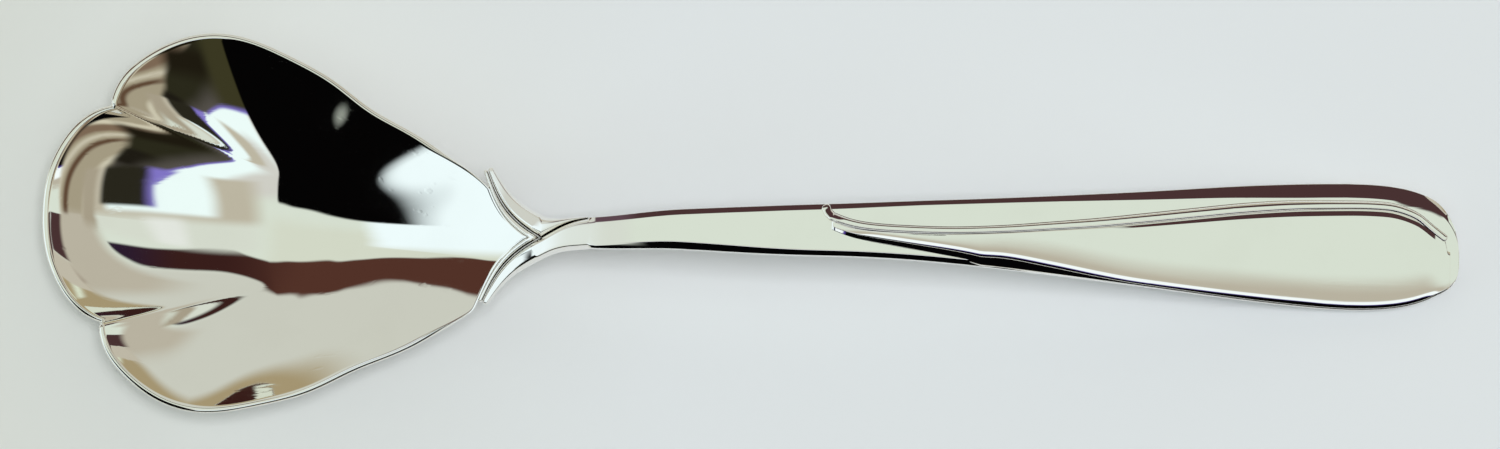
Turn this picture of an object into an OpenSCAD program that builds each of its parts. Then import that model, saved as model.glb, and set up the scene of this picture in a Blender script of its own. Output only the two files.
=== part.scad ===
// Sugar spoon with a three-lobed bowl, a forked heel and an applied leaf on the handle.
// X runs from the bowl's tip to the handle's end, Y is across, Z is up, and z = 0 is the table.

/* [Overall] */
// Length from the bowl's tip to the handle's end
overall_l = 156; // [120:1:200]

/* [Bowl] */
// Length of the bowl from its tip to its low point
bowl_front_l = 23; // [19:0.5:27]
// Distance from the low point to the bottom of the fork
heel_l = 30.5; // [26:0.5:36]
// Distance from the low point to the shoulders beside the fork
shoulder_l = 26.2; // [23:0.1:30]
// Width across the two side lobes
bowl_w = 41.2; // [34:0.2:50]
// Height of the rim at the tip
tip_h = 9.5; // [7:0.5:13]
// Height of the rim at the side lobes
side_h = 11; // [8:0.5:14]
// Height of the rim at the waist between the side lobes and the heel
waist_h = 10.9; // [8:0.1:13]
// Height of the rim at the heel
heel_h = 13; // [11:0.5:15]
// Thickness of the bowl at its low point
bowl_wall = 1.1; // [0.8:0.1:1.6]
// Thickness of the bowl at its rim
rim_wall = 0.7; // [0.5:0.05:1]
// Depth of the notches between the tip lobe and the side lobes
notch_depth = 1.45; // [0.5:0.05:2.2]
// Height of the ridge that runs inward from each notch
ridge_h = 1.25; // [0.4:0.05:2]
// Length of each ridge
ridge_l = 20; // [12:1:24]
// Half width of the fold on each side of a ridge
ridge_w = 6; // [4:0.5:8]
// How much of the rounded underside is dressed flat to sit on
seat_flat = 0.3; // [0.1:0.05:0.5]
// Sideways place of the bowl's low point against the handle's line
bowl_side = -0.13; // [-2:0.01:2]
// Turn of the bowl against the handle, in degrees
bowl_turn = 3.5; // [0:0.5:6]

/* [Fork] */
// Width of the bead along the bowl's heel, at the bottom of the fork
bead_w = 0.65; // [0.4:0.05:1]
// Depth of the bead and of the arms
fork_depth = 2.4; // [1.5:0.1:3]
// How far the arms stand above the rim
arm_rise = 0.7; // [0.3:0.1:1.2]
// How far the bead's top lies below the arms' tops
bead_drop = 0.25; // [0.1:0.05:0.5]
// Width of the arms at the bottom of the fork
arm_w = 2.1; // [1.4:0.1:3]
// Width of the arms at their tips
arm_tip_w = 0.65; // [0.3:0.05:0.9]
// Distance from the bottom of the fork to where the upper arm fades into the stem
arm_tail_l = 6.8; // [4:0.2:10]
// Solder seam between two pieces
seam = 0.06; // [0.02:0.01:0.15]

/* [Handle] */
// Greatest width of the handle
handle_w = 14.2; // [10:0.2:20]
// Length of the rounded end
handle_end_l = 12.5; // [9:0.5:16]
// Height of the underside where the stem is highest
arch_h = 14.4; // [11:0.2:18]
// Thickness of the stem
stem_t = 3.6; // [2.6:0.1:4.4]
// Thickness of the flat handle
blank_t = 2; // [1.4:0.1:3]
// Rounding of the stem's and handle's edges
edge_r = 1.3; // [0.8:0.1:1.5]
// How far the handle's very end lies below the handle's line
end_dip = 1.1; // [0:0.1:2]

/* [Leaf] */
// Thickness of the leaf at its middle
leaf_t = 0.9; // [0.5:0.1:1.4]
// Height of the leaf's lower edge above the handle
leaf_edge_t = 0.6; // [0.3:0.1:0.9]
// Width of the sloping side below that edge where it is widest
leaf_side_w = 0.95; // [0.4:0.05:1.2]
// Height of the rib along the leaf above the handle
rib_t = 1.5; // [1:0.1:2]
// Width of the rib at its middle
rib_w = 1.3; // [0.8:0.1:1.8]

/* [Hidden] */
silver = [0.86, 0.85, 0.81];
bright = [0.93, 0.92, 0.88];

half_w = bowl_w / 2;
bowl_floor = bowl_wall - seat_flat;
// radius of the round dish that passes through the low point and the side rims
dish_r = (half_w * half_w + side_h * side_h) / (2 * side_h);

// Rim of the bowl at every 15 degrees from the tip round to the heel,
// as shares of its front length and half width
rim_shares = [1.004, 1.003, 0.982, 0.988, 1.028, 1.043, 0.986, 0.929, 0.899, 0.922, 1.023, 1.175, 1.3];
rim_last = len(rim_shares) - 1;
// The outline leans: this share is added on two opposite quarters and taken off the other two
lean_share = 0.024;
// Rounding of the corner between rim and fork
shoulder_share = 0.012;
notch_angle = 40;
notch_spread_angle = 18;
// Fork: turn of its middle line against the bowl's, how fast its two edges flare,
// and where they meet the shoulders
fork_turn = 2;
fork_flare_angle = 5;
fork_end_angle = 15;
// Turn of the ridges against the bowl's line, and how much the upper one turns more than that
ridge_turn_angle = 18.7;
ridge_skew_angle = -1;
// Curvature of the dish's profile: 1 is a half circle, 0 a parabola, and below 0 the wall gets straighter.
// The table gives it at the rim by the angle from the tip.
middle_bend_share = 0.35;
bend_shares = [[0, 0.7], [40, 0.45], [75, 0.2], [100, -0.2],
               [120, -1.2], [145, -2.2], [165, -2.4], [180, -2.4]];
// Share of the wall that lies outside the inner rim in plan
rim_lean_share = 0.85;

// Angles round the bowl from its tip to just short of the fork's middle,
// closer together at the notch and at the fork
half_angles = concat(
    [for (a = [0 : 5 : 30]) a],
    [34, 37, 39, notch_angle, 41, 43, 46, 50, 55],
    [for (a = [61 : 6 : 152]) a],
    [155, 158, 160, 162, 163.5, 165, 167, 169, 171, 173, 174.7, 176.2]);
// Rings from the low point to the rim, as shares of the way
ring_shares = [0.07, 0.14, 0.22, 0.3, 0.38, 0.46, 0.54, 0.62, 0.7, 0.77, 0.83, 0.89, 0.94, 0.97, 1];

function lerp(a, b, t) = a + (b - a) * t;
function limit(t) = min(1, max(0, t));
function ease(t) = t * t * (3 - 2 * t);
function unit(v) = v / norm(v);
function last(list) = list[len(list) - 1];
function backwards(list) = [for (i = [len(list) - 1 : -1 : 0]) list[i]];
function bezier(a, b, c, d, t) =
    pow(1 - t, 3) * a + 3 * pow(1 - t, 2) * t * b + 3 * (1 - t) * t * t * c + t * t * t * d;

// Smooth curve through the points of a table of [place, value]
function slope(table, i) =
    let (a = max(0, i - 1), b = min(len(table) - 1, i + 1))
    (table[b][1] - table[a][1]) / (table[b][0] - table[a][0]);
function span_at(table, x, i = 0) =
    i >= len(table) - 2 || x < table[i + 1][0] ? i : span_at(table, x, i + 1);
function curve(table, x) =
    let (
        i = span_at(table, x),
        step = table[i + 1][0] - table[i][0],
        t = limit((x - table[i][0]) / step))
    table[i][1] * (1 + 2 * t) * pow(1 - t, 2) + slope(table, i) * step * t * pow(1 - t, 2)
        + table[i + 1][1] * t * t * (3 - 2 * t) - slope(table, i + 1) * step * t * t * (1 - t);

// The rim's stations as a sum of cosines, so the curve through them has no kink
function end_half(j) = j == 0 || j == rim_last ? 0.5 : 1;
rim_waves = [for (k = [0 : rim_last]) end_half(k) * 2 / rim_last
    * ([for (j = [0 : rim_last]) end_half(j) * rim_shares[j]]
        * [for (j = [0 : rim_last]) cos(180 * j * k / rim_last)])];
function full_rim(a) = rim_waves * [for (k = [0 : rim_last]) cos(k * a)] + lean_share * sin(2 * a);

// Angle from the tip as 0 to 180 on either side
function from_tip(a) = acos(cos(a));
function heel_part(a) = ease(limit((from_tip(a) - 148) / 15));
function plan(a, s) = [-bowl_front_l * s * cos(a), half_w * s * sin(a)];
function angle_at(p) = atan2(p[1] / half_w, -p[0] / bowl_front_l);
function share_at(p) = norm([p[0] / bowl_front_l, p[1] / half_w]);

// Edge of the bowl against the fork: two curves that meet in a point, b degrees from the fork's middle line
function fork_r(b) = shoulder_l + (heel_l - shoulder_l) * exp(-abs(b) / fork_flare_angle);
function fork_share(a) =
    let (p = plan(a, 1))
    p[0] > 0 ? fork_r(atan2(p[1], p[0]) - fork_turn) / norm(p) : 2;
fork_angle = 180 + angle_at([-cos(fork_turn), -sin(fork_turn)]);

// Rim without its notches: the smaller of the two outlines, with a rounded corner where they meet
function near_rim(a) =
    let (
        r = full_rim(a) + ease(limit((from_tip(a) - 165) / 8)),
        f = fork_share(a),
        k = limit(0.5 + (f - r) / (2 * shoulder_share)))
    lerp(f, r, k) - shoulder_share * k * (1 - k);
// Outline of the bowl seen from above, and its inner edge, which lies one wall further in
function notch(a) =
    notch_depth / half_w * pow(limit(1 - abs(from_tip(a) - notch_angle) / notch_spread_angle), 3);
function outline(a) = near_rim(a) - notch(a);
function inner_rim(a) = outline(a) - rim_lean_share * rim_wall / half_w * (1 - heel_part(a));

// Height of the rim by the angle from the tip
rim_heights = [[-90, side_h], [0, tip_h], [90, side_h], [135, waist_h], [180, heel_h], [225, waist_h]];
function rim_height(a) = curve(rim_heights, from_tip(a));
function bend(a) = curve(bend_shares, from_tip(a));
function dish(g, e) = (1 - sqrt(1 - e * g * g)) / (1 - sqrt(1 - e));

// Ridge that runs inward from the notch and fades
notch_point = plan(notch_angle, outline(notch_angle));
fold_round = 0.03;
function fold(y) = pow(limit(1 - sqrt(y * y + fold_round * fold_round)), 3) / pow(1 - fold_round, 3);
function ridge(p) =
    let (
        turn = ridge_turn_angle + ridge_skew_angle * sign(p[1]),
        q = [p[0], abs(p[1])] - notch_point,
        along = q * [cos(turn), -sin(turn)],
        across = q * [sin(turn), cos(turn)])
    ridge_h * pow(1 - pow(limit(along / ridge_l), 2), 1.5) * fold(abs(across) / ridge_w);

// Inner face of the bowl: a dish whose level lines change from ellipses at the low point
// to the lobed outline
function bowl_z(a, s) =
    let (
        full = full_rim(a),
        t = ease(limit(s / full)),
        g = s / lerp(1, full, t),
        top = lerp(side_h, rim_height(a), t))
    bowl_floor + (top - bowl_floor) * dish(g, lerp(middle_bend_share, bend(a), t)) + ridge(plan(a, s));
function inner_point(a, s) = let (p = plan(a, s)) [p[0], p[1], bowl_z(a, s)];
// Outer face: one wall away from the dish's centre, straight down at the heel, and flat where it rests
function outer_point(a, s) =
    let (
        p = inner_point(a, s),
        away = unit(p - [0, 0, bowl_floor + dish_r]),
        wall = lerp(bowl_wall, rim_wall, pow(limit(s / outline(a)), 2)),
        q = p + wall * lerp(away, [0, 0, -1], heel_part(a)))
    [q[0], q[1], max(0, q[2])];

// From the bowl's own frame to the handle's, which has its zero at the bowl's tip
function placed(p) =
    [bowl_front_l + p[0] * cos(bowl_turn) + p[1] * sin(bowl_turn),
     bowl_side - p[0] * sin(bowl_turn) + p[1] * cos(bowl_turn), p[2]];

round_angles = concat(
    half_angles, [fork_angle],
    [for (a = backwards(half_angles)) if (a > 0) 360 - a]);
bowl_rings = [for (s = ring_shares) [for (a = round_angles) placed(inner_point(a, s * inner_rim(a)))]];
under_rings = [for (s = ring_shares) [for (a = round_angles) placed(outer_point(a, s * inner_rim(a)))]];

// The whole spoon is centred on its own box
rim_x = [for (p = last(under_rings)) p[0]];
rim_y = [for (p = last(under_rings)) p[1]];
tip_x = min(rim_x);
middle_y = (max(max(rim_y), handle_w / 2) + min(min(rim_y), -handle_w / 2)) / 2;
module centred() {
    translate([-tip_x - overall_l / 2, -middle_y, 0]) children();
}

// Closed solid from rings of equal length, each joined to the next, with a flat fan at both ends
function ring_sides(first, second, n) =
    [for (j = [0 : n - 1]) each [
        [first + j, second + j, second + (j + 1) % n],
        [first + j, second + (j + 1) % n, first + (j + 1) % n]]];
module solid_of(rings) {
    n = len(rings[0]);
    count = len(rings);
    points = [for (r = rings) each r];
    sides = [for (i = [0 : count - 2]) each ring_sides(i * n, (i + 1) * n, n)];
    caps = [for (j = [1 : n - 2]) each [
        [0, j, j + 1],
        [(count - 1) * n, (count - 1) * n + j + 1, (count - 1) * n + j]]];
    polyhedron(points = points, faces = concat(sides, caps));
}

// Bowl: inner face from its low point out to the rim, then the outer face back to its own low point
module bowl() {
    n = len(round_angles);
    rings = concat(bowl_rings, backwards(under_rings));
    points = concat(
        [placed([0, 0, bowl_floor])],
        [for (r = rings) each r],
        [placed([0, 0, 0])]);
    sides = [for (i = [0 : len(rings) - 2]) each ring_sides(1 + i * n, 1 + (i + 1) * n, n)];
    first_fan = [for (j = [0 : n - 1]) [0, 1 + j, 1 + (j + 1) % n]];
    end = len(points) - 1;
    last_fan = [for (j = [0 : n - 1]) [end, end - n + (j + 1) % n, end - n + j]];
    color(silver) centred() polyhedron(points = points, faces = concat(first_fan, sides, last_fan));
}

// Edge of the bowl beside the fork, with its outward direction in plan
function fork_edge(b) =
    let (p = fork_r(b) * [cos(fork_turn + b), sin(fork_turn + b)])
    placed([p[0], p[1], bowl_z(angle_at(p), share_at(p))]);
function edge_away(b) =
    let (
        step = b < 0 ? -0.1 : 0.1,
        d = fork_edge(b + step) - fork_edge(b),
        n = unit([d[1], -d[0], 0]))
    n[0] > 0 ? n : -n;
function beside(b, d) = fork_edge(b) + d * edge_away(b);
fork_axis = [cos(fork_turn - bowl_turn), sin(fork_turn - bowl_turn), 0];
// At the bottom of the fork both sides meet on its middle line
function mitred(d) = fork_edge(0) + d / (edge_away(0.001) * fork_axis) * fork_axis;
fork_steps = [0.001, 1, 2, 3.2, 4.6, 6.2, 8, 10, 12, 13.6, fork_end_angle];

// Rounded bar section between two plan points p and q: flat above and below, with round sides
corner = [for (a = [15 : 25 : 90]) [cos(a), sin(a)]];
function section(p, q, bottom, top, flat) =
    [for (k = [[1, 1], [-1, 1], [-1, -1], [1, -1]])
        for (c = k[0] * k[1] > 0 ? corner : backwards(corner)) let (
            across = k[0] * (flat + (1 - flat) * c[0]),
            level = k[1] * c[1],
            xy = lerp(p, q, (1 + across) / 2))
            [xy[0], xy[1], lerp(bottom, top, (1 + level) / 2)]];

// Widths along the fork, b degrees from its middle line
function bead_at(b) = bead_w * (1 - 0.4 * ease(limit(abs(b) / fork_end_angle)));
function arm_at(b) = lerp(arm_w, arm_tip_w, abs(b) / fork_end_angle);
function arm_start(b) = bead_at(b) + 2 * seam;
function fork_top(b) = fork_edge(b)[2] + arm_rise * (1 - 0.5 * ease(abs(b) / fork_end_angle));
function fork_bottom(b) = fork_edge(b)[2] - fork_depth * (1 - 0.4 * ease(abs(b) / fork_end_angle));
bead_flat_share = 0.2;
side_steps = [for (b = fork_steps) if (b > fork_steps[0]) b];

// Bead along the heel: follows both edges of the fork
module heel_bead() {
    function ring(b, p, q) = section(p, q, fork_bottom(b), fork_top(b) - bead_drop, bead_flat_share);
    rings = concat(
        [for (b = backwards(side_steps)) ring(b, beside(b, seam), beside(b, seam + bead_at(b)))],
        [ring(0, mitred(seam), mitred(seam + bead_w))],
        [for (b = side_steps) ring(-b, beside(-b, seam), beside(-b, seam + bead_at(b)))]);
    color(bright) centred() solid_of(rings);
}

// Handle: places along it are shares of the way from the stem's free start, 0, to the rounded end, 1
stem_start = fork_edge(0)[0] + arm_tail_l;
end_x = tip_x + overall_l;
end_start = end_x - handle_end_l;
function place(x) = (x - stem_start) / (end_start - stem_start);
// Half width as shares of the greatest one
half_shares = [[0, 0.235], [0.12, 0.305], [0.24, 0.37], [0.36, 0.415], [0.48, 0.495], [0.6, 0.605],
    [0.72, 0.73], [0.84, 0.868], [0.9, 0.927], [0.96, 0.973], [1, 0.99]];
// Height of the underside as shares of the arch
arch_shares = [[0, 0.785], [0.12, 0.924], [0.24, 0.993], [0.31, 1], [0.36, 0.986], [0.48, 0.882], [0.6, 0.7],
    [0.72, 0.493], [0.84, 0.285], [0.92, 0.132], [0.97, 0.04], [1.02, 0], [1.1, 0], [1.16, 0.04]];
// Change from the stem's thickness, 0, to the flat handle's, 1
thin_shares = [[0, 0.1], [0.2, 0], [0.35, 0.05], [0.6, 0.6], [0.85, 1], [1.16, 1]];
end_power = 2.7;
end_half_share = 0.06;
line_dip = 0.06 * handle_w / 2;
line_rise = 0.042 * handle_w / 2;
function half_at(x) = handle_w / 2 * (x < end_start
    ? curve(half_shares, place(x))
    : max(end_half_share, last(half_shares)[1]
        * pow(limit(1 - pow((x - end_start) / handle_end_l, end_power)), 1 / end_power)));
function line_at(x) =
    line_rise * ease(limit((place(x) - 0.2) / 0.25))
    - line_dip * (1 - ease(limit(place(x) / 0.12)))
    - end_dip * pow(limit(4 * (x - end_start) / handle_end_l - 3), 2);
function bottom_at(x) = max(0, arch_h * curve(arch_shares, place(x)));
function thick_at(x) = lerp(stem_t, blank_t, curve(thin_shares, place(x)));
function top_at(x) = bottom_at(x) + thick_at(x);
function round_at(x) = min(edge_r, 0.8 * half_at(x));
function flat_at(x) = 1 - round_at(x) / half_at(x);
// Height of the handle's top at y, with its rounded edges
function face_z(x, y) =
    let (
        out = limit((abs(y - line_at(x)) - flat_at(x) * half_at(x)) / round_at(x)),
        half = thick_at(x) / 2)
    bottom_at(x) + half + (half - tip_thin(x)) * sqrt(1 - out * out);
end_turns = [6, 12, 18, 24, 30, 36, 42, 54, 66];
handle_steps = concat(
    [for (i = [0 : 28]) lerp(stem_start, end_start, i / 28)],
    [for (a = concat(end_turns, [74, 80, 84])) end_start + handle_end_l * pow(sin(a), 2 / end_power)],
    [end_x]);
function tip_thin(x) = 0.5 * ease(limit((x - end_x + edge_r) / edge_r)) * thick_at(x) / 2;

// The stem's edges between the bottom of the fork and its free start
function run(b) = let (n = edge_away(b)) [-n[1], n[0], 0];
stem_pull = arm_tail_l / 3;
function stem_edge(side, t) =
    let (
        start = side > 0 ? mitred(arm_start(0)) : beside(-fork_steps[0], arm_start(0) + arm_w),
        finish = [stem_start, line_at(stem_start) + side * half_at(stem_start), 0],
        ahead = [stem_pull, 0.1 * stem_pull, 0])
    bezier(start, start + stem_pull * run(-fork_steps[0]), finish - ahead, finish, t);
// Heights along the neck rise as steeply at both of its ends as the stem does after it
neck_rise = arch_h * slope(arch_shares, 0) * arm_tail_l / (end_start - stem_start);
function neck_z(from, to, t) =
    from * (1 + 2 * t) * pow(1 - t, 2) + to * t * t * (3 - 2 * t)
        + neck_rise * t * (1 - t) * (1 - 2 * t);
neck_steps = [for (i = [0 : 6]) i / 7];

// Stem and handle in one forged piece: lower arm of the fork, stem, flat blank with a rounded end
module stem() {
    arm = [for (b = backwards(side_steps)) section(
        beside(-b, arm_start(b) + arm_at(b)), beside(-b, arm_start(b)),
        fork_bottom(-b), fork_top(-b), bead_flat_share)];
    neck = [for (t = neck_steps) section(
        stem_edge(-1, t), stem_edge(1, t),
        neck_z(fork_bottom(0), bottom_at(stem_start), t),
        neck_z(fork_top(0), top_at(stem_start), t), bead_flat_share)];
    bar = [for (x = handle_steps) section(
        [x, line_at(x) - half_at(x)], [x, line_at(x) + half_at(x)],
        bottom_at(x) + tip_thin(x), top_at(x) - tip_thin(x), flat_at(x))];
    color(silver) centred() solid_of(concat(arm, neck, bar));
}

// Upper arm of the fork, whose tail lies along the stem and fades into it
tail_thin_share = 0.25;
module upper_arm() {
    arm = [for (b = backwards(side_steps)) section(
        beside(b, arm_start(b)), beside(b, arm_start(b) + arm_at(b)),
        fork_bottom(b), fork_top(b), bead_flat_share)];
    first = side_steps[0];
    start = beside(first, arm_start(first) + arm_at(first));
    finish = stem_edge(1, 1) + [0, 2 * seam, 0];
    tail = [for (t = concat([0.06], [for (i = [1 : 6]) i / 7], [0.94])) let (
        low = stem_edge(1, max(0, t - 0.06)) + [0, seam, 0],
        high = bezier(start, start - 0.5 * stem_pull * run(first),
            finish - [stem_pull, 0, 0], finish, t),
        thin = tail_thin_share * stem_t * t)
        section([low[0], low[1]], [high[0], high[1]],
            neck_z(fork_bottom(0), bottom_at(stem_start), t) + thin,
            neck_z(fork_top(0), top_at(stem_start), t) - thin, bead_flat_share)];
    color(silver) centred() solid_of(concat(arm, tail));
}

// Middle line of the rib as shares of the handle's greatest half width
rib_shares = [[0.3125, 0.21], [0.335, 0.118], [0.36, 0.07], [0.4, 0.047], [0.464, 0.045], [0.529, 0.089],
    [0.594, 0.163], [0.66, 0.245], [0.726, 0.348], [0.793, 0.457], [0.86, 0.562], [0.928, 0.64],
    [0.996, 0.675], [1.037, 0.675], [1.065, 0.64], [1.0925, 0.52], [1.113, 0.345], [1.13, 0.2]];
rib_width_shares = [[0.31, 0.8], [0.4, 0.75], [0.53, 0.78], [0.66, 0.95], [0.8, 1.04], [0.9, 1.05],
    [1, 0.92], [1.06, 0.88], [1.14, 0.6]];
// Lower edge of the leaf where it crosses the handle, in the same shares
leaf_shares = [[0.3, 0.1], [0.3125, 0.015], [0.335, -0.085], [0.36, -0.154], [0.4, -0.22], [0.464, -0.321],
    [0.4965, -0.417], [0.529, -0.495], [0.56, -0.57], [0.62, -0.75], [0.7, -1.1]];
sliver = 0.3 * seam;
function x_at(share) = lerp(stem_start, end_start, share);
function rib_y(x) = handle_w / 2 * curve(rib_shares, place(x));
function rib_half(x) = rib_w / 2 * curve(rib_width_shares, place(x));
// Half width of the handle inside a border that runs along its edge and round its end
function inner_half(x, border) = max(sliver, half_at(min(x + border, end_x)) - border);
function leaf_low(x, c) =
    max(handle_w / 2 * curve(leaf_shares, place(x)), line_at(x) - inner_half(x, round_at(x) * (1 - c)));

// Places of the rib's rings along the handle
rib_steps = concat([0.3125, 0.322, 0.335, 0.35, 0.37], [for (s = [0.4 : 0.03 : 1.03]) s],
    [1.05, 1.065, 1.08, 1.0925, 1.105, 1.118, 1.13]);

// Width of the sloping side below the leaf's lower edge, as shares of its greatest one
side_shares = [[0.3, 0.3], [0.33, 0.6], [0.43, 0.68], [0.52, 0.9], [0.6, 1], [0.68, 0.6], [0.8, 0.4],
    [1.16, 0.35]];
leaf_end = place(end_x - 0.8 * edge_r);
leaf_places = concat([for (s = [0.312 : 0.028 : 1.06]) s], [1.07, 1.082, 1.094, 1.104, 1.112, 1.12, 1.128],
    [for (t = [0.4, 0.7, 0.88, 1]) lerp(1.128, leaf_end, t)]);
// Leaf: a thin crowned plate from its sloping side up to the rib
module handle_leaf() {
    rings = [for (s = leaf_places) let (
        x = x_at(s),
        foot = leaf_low(x, corner[1][0]),
        under = [for (i = [0 : 2]) max(foot + i * sliver, leaf_low(x, corner[1 + i][0]))],
        edge = s > last(rib_steps) ? line_at(x) + inner_half(x, edge_r) : end_x,
        high = max(min(edge, rib_y(x) - rib_half(x) - seam), last(under) + sliver),
        crest = lerp(foot, high, min(0.5, leaf_side_w * curve(side_shares, s) / (high - foot))),
        rise = lerp(0.4, 1, ease(limit((s - leaf_places[0]) / 0.06)))
            * lerp(0.2, 1, ease(limit((leaf_end - s) / 0.05))))
        concat(
            [[x, lerp(crest, foot, 0.6), lerp(top_at(x) + rise * leaf_edge_t, face_z(x, foot), 0.35) + seam]],
            [[x, foot, lerp(top_at(x) + rise * leaf_edge_t, face_z(x, foot), 0.85) + seam]],
            [for (y = under) [x, y, face_z(x, y) + seam]],
            [[x, high, face_z(x, high) + seam]],
            [for (q = [1, 0.85, 0.65, 0.45, 0.28, 0.14, 0]) let (y = lerp(crest, high, q))
                [x, y, top_at(x) - tip_thin(x) + seam
                    + rise * (leaf_edge_t + (leaf_t - leaf_edge_t) * sin(180 * sqrt(q)))]])];
    color(bright) centred() solid_of(rings);
}

curl_l = 0.75 * rib_w;
rib_section = [[1, 0], [1, 0.45], [0.75, 0.8], [0.3, 0.98], [-0.3, 0.98], [-0.75, 0.8], [-1, 0.45], [-1, 0]];
// Rib: a rounded bead along the leaf's upper edge that starts in a curl over the stem's edge
module leaf_rib() {
    first = x_at(rib_steps[0]);
    path = concat(
        [for (k = [[0.7, 1], [0.45, 0.45]]) [first - k[0] * curl_l, rib_y(first) + k[1] * curl_l]],
        [for (s = rib_steps) [x_at(s), rib_y(x_at(s))]]);
    end = len(path) - 1;
    rings = [for (i = [0 : end]) let (
        p = path[i],
        d = unit(path[min(end, i + 1)] - path[max(0, i - 1)]),
        n = [-d[1], d[0]] * rib_half(p[0]) * (i == 0 ? 0.8 : 1),
        z = top_at(p[0]) + seam,
        high = rib_t * lerp(0.35, 1, ease(limit(i / 4))) * lerp(0.5, 1, ease(limit((end - i) / 4))))
        [for (k = rib_section)
            [p[0] + k[0] * n[0], p[1] + k[0] * n[1], z + k[1] * high]]];
    color(bright) centred() solid_of(rings);
}

bowl();
heel_bead();
stem();
upper_arm();
handle_leaf();
leaf_rib();
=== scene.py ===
"""Looks of the sugar spoon. Lengths in the shape functions are millimetres and angles are degrees."""

import bpy
import numpy as np
from mathutils import Matrix, Vector


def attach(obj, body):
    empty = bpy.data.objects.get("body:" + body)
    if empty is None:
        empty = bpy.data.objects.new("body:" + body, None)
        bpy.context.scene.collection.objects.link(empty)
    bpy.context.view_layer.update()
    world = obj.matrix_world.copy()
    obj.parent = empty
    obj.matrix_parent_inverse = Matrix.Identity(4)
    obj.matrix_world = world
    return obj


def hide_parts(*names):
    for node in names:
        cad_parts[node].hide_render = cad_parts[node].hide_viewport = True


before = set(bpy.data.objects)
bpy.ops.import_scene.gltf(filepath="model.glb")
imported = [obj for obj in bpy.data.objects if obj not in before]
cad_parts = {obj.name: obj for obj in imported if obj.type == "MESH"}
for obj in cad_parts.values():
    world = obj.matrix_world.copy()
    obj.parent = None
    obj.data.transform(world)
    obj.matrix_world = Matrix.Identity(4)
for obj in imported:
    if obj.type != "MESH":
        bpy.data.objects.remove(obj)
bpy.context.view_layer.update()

# Sizes: the part's own, and a few more for the finer surfaces
OVERALL_L = 156.0
BOWL_FRONT_L, HEEL_L, SHOULDER_L, BOWL_W = 23.0, 30.5, 26.2, 41.2
TIP_H, SIDE_H, WAIST_H, HEEL_H = 9.5, 11.0, 10.9, 13.0
BOWL_WALL, RIM_WALL, SEAT_FLAT = 1.1, 0.7, 0.3
NOTCH_DEPTH, RIDGE_H, RIDGE_L, RIDGE_W = 1.45, 1.25, 20.0, 6.0
BOWL_SIDE, BOWL_TURN = -0.13, 3.5
BEAD_W, FORK_DEPTH, ARM_RISE = 0.65, 2.4, 0.7
ARM_W, ARM_TIP_W, ARM_TAIL_L, SEAM = 2.1, 0.65, 6.8, 0.06
HANDLE_W, HANDLE_END_L, ARCH_H = 14.2, 12.5, 14.4
STEM_T, BLANK_T, EDGE_R, END_DIP = 3.6, 2.0, 1.3, 1.1
LEAF_SIDE_W, RIB_T, RIB_W = 0.95, 1.5, 1.3

HALF_W = BOWL_W / 2
BOWL_FLOOR = BOWL_WALL - SEAT_FLAT
DISH_R = (HALF_W**2 + SIDE_H**2) / (2 * SIDE_H)
RIM_SHARES = np.array([1.004, 1.003, 0.982, 0.988, 1.028, 1.043, 0.986, 0.929, 0.899, 0.922, 1.023, 1.175,
                       1.3])
LEAN_SHARE, SHOULDER_SHARE = 0.024, 0.012
NOTCH_AT, NOTCH_SPREAD = 40.0, 18.0
FORK_TURN, FORK_FLARE, FORK_END = 2.0, 5.0, 15.0
RIDGE_TURN, RIDGE_SKEW, FOLD_ROUND = 18.7, -1.0, 0.03
BEND_SHARES = [[0, 0.7], [40, 0.45], [75, 0.2], [100, -0.2], [120, -1.2], [145, -2.2], [165, -2.4],
               [180, -2.4]]
MIDDLE_BEND = 0.35
RIM_LEAN, RIM_ROUND = 0.85, 0.8
BEAD_DROP, TAIL_THIN = 0.25, 0.25
FLAT, ARM_FLAT = 0.2, 0.45
TOUCH = SEAM + 0.03
END_POWER, LINE_DIP, LINE_RISE = 2.7, 0.06 * HANDLE_W / 2, 0.042 * HANDLE_W / 2

HALF_SHARES = [[0, 0.235], [0.12, 0.305], [0.24, 0.37], [0.36, 0.415], [0.48, 0.495], [0.6, 0.605],
               [0.72, 0.73], [0.84, 0.868], [0.9, 0.927], [0.96, 0.973], [1, 0.99]]
ARCH_SHARES = [[0, 0.785], [0.12, 0.924], [0.24, 0.993], [0.31, 1], [0.36, 0.986], [0.48, 0.882],
               [0.6, 0.7], [0.72, 0.493], [0.84, 0.285], [0.92, 0.132], [0.97, 0.04], [1.02, 0],
               [1.1, 0], [1.16, 0.04]]
THIN_SHARES = [[0, 0.1], [0.2, 0], [0.35, 0.05], [0.6, 0.6], [0.85, 1], [1.16, 1]]
RIB_SHARES = [[0.3125, 0.21], [0.335, 0.118], [0.36, 0.07], [0.4, 0.047], [0.464, 0.045], [0.529, 0.089],
              [0.594, 0.163], [0.66, 0.245], [0.726, 0.348], [0.793, 0.457], [0.86, 0.562],
              [0.928, 0.64], [0.996, 0.675], [1.037, 0.675], [1.065, 0.64], [1.0925, 0.52],
              [1.113, 0.345], [1.13, 0.2]]
RIB_WIDTH_SHARES = [[0.31, 0.8], [0.4, 0.75], [0.53, 0.78], [0.66, 0.95], [0.8, 1.04], [0.9, 1.05],
                    [1, 0.92], [1.06, 0.88], [1.14, 0.6]]
LEAF_SHARES = [[0.3, 0.1], [0.3125, 0.015], [0.335, -0.085], [0.36, -0.15], [0.4, -0.225],
               [0.464, -0.35], [0.4965, -0.44], [0.529, -0.55], [0.56, -0.7], [0.62, -0.9], [0.7, -1.1]]
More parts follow.
